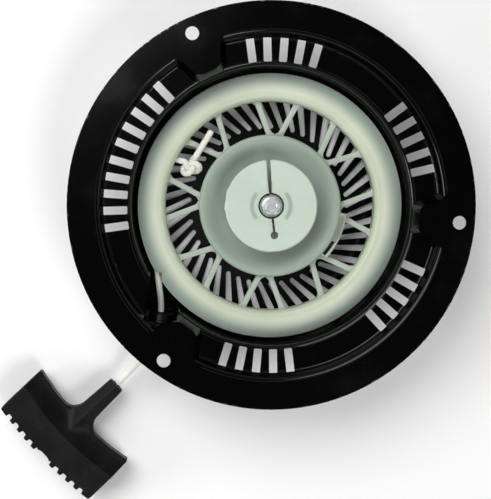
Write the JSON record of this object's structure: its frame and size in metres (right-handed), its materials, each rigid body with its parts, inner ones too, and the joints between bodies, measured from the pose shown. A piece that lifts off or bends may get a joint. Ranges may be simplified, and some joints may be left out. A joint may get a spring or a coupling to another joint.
{
  "type": "recoil starter",
  "caption": "Pull-rope recoil starter: round pressed-steel cover with bolt flange and cooling slots, nylon rope reel, ratchet guide with pawls, rope and T-grip.",
  "frame": {"origin": "centre of the circle of the three mounting holes, on the engine-side face of the flange", "axes": "+Z along the crankshaft axis towards the engine, out of the open side of the cover; +X and +Y as seen from the engine, +X to the right; the grip lies towards -X -Y"},
  "size_m": [0.2469, 0.2606, 0.0472],
  "materials": {
    "cover_paint": "gloss black paint on pressed steel",
    "post_steel": "turned steel, oiled",
    "plated_steel": "bright zinc plate",
    "reel_nylon": "natural nylon, translucent",
    "guide_nylon": "natural nylon, satin",
    "pawl_nylon": "natural nylon, satin",
    "spring_steel": "blued spring steel, oiled",
    "rope": "braided nylon rope",
    "grip_plastic": "black moulded plastic, fine grain"
  },
  "bodies": {
    "cover": {"housing": "cover_paint", "center_post": "post_steel", "post_plate": "plated_steel", "center_bolt": "plated_steel", "thrust_washer": "plated_steel", "friction_washer": "plated_steel", "rope_guide": "guide_nylon", "guide_ring": "plated_steel", "rope_lead": "rope", "rope_free": "rope"},
    "reel": {"reel": "reel_nylon", "mainspring": "spring_steel", "rope_on_reel": "rope", "reel_knot": "rope", "pawl_spring_1": "spring_steel", "pawl_spring_2": "spring_steel", "pawl_pin_1": "post_steel", "pawl_pin_2": "post_steel"},
    "guide": {"ratchet_guide": "guide_nylon", "friction_clip": "spring_steel"},
    "pawl_1": {"pawl_1": "pawl_nylon"},
    "pawl_2": {"pawl_2": "pawl_nylon"},
    "grip": {"handle_grip": "grip_plastic", "handle_insert": "plated_steel", "handle_knot": "rope"}
  },
  "joints": [
    {"name": "handle_pull", "type": "slide", "parent": "cover", "child": "grip", "axis": [-0.6561, -0.7547, 0], "range_m": [0, 0.9], "deforming": ["rope_free"]},
    {"name": "reel_spin", "type": "hinge", "parent": "cover", "child": "reel", "pos_m": [0, 0, -0.026], "axis": [0, 0, 1], "range_deg": [0, 830], "stiffness_Nm_per_rad": 0.02, "deforming": ["mainspring"]},
    {"name": "guide_turn", "type": "hinge", "parent": "reel", "child": "guide", "pos_m": [0, 0, -0.01], "axis": [0, 0, 1], "range_deg": [-25, 0], "deforming": ["pawl_spring_1", "pawl_spring_2"]},
    {"name": "pawl_1_swing", "type": "hinge", "parent": "reel", "child": "pawl_1", "pos_m": [0.00895, -0.01327, -0.016], "axis": [0, 0, 1], "range_deg": [-25, 0]},
    {"name": "pawl_2_swing", "type": "hinge", "parent": "reel", "child": "pawl_2", "pos_m": [-0.00895, 0.01327, -0.016], "axis": [0, 0, 1], "range_deg": [-25, 0]}
  ],
  "couplings": [
    {"joint": "reel_spin", "follows": "handle_pull", "rad_per_m": 16.077},
    {"joint": "pawl_1_swing", "follows": "guide_turn", "ratio": 1},
    {"joint": "pawl_2_swing", "follows": "guide_turn", "ratio": 1}
  ]
}
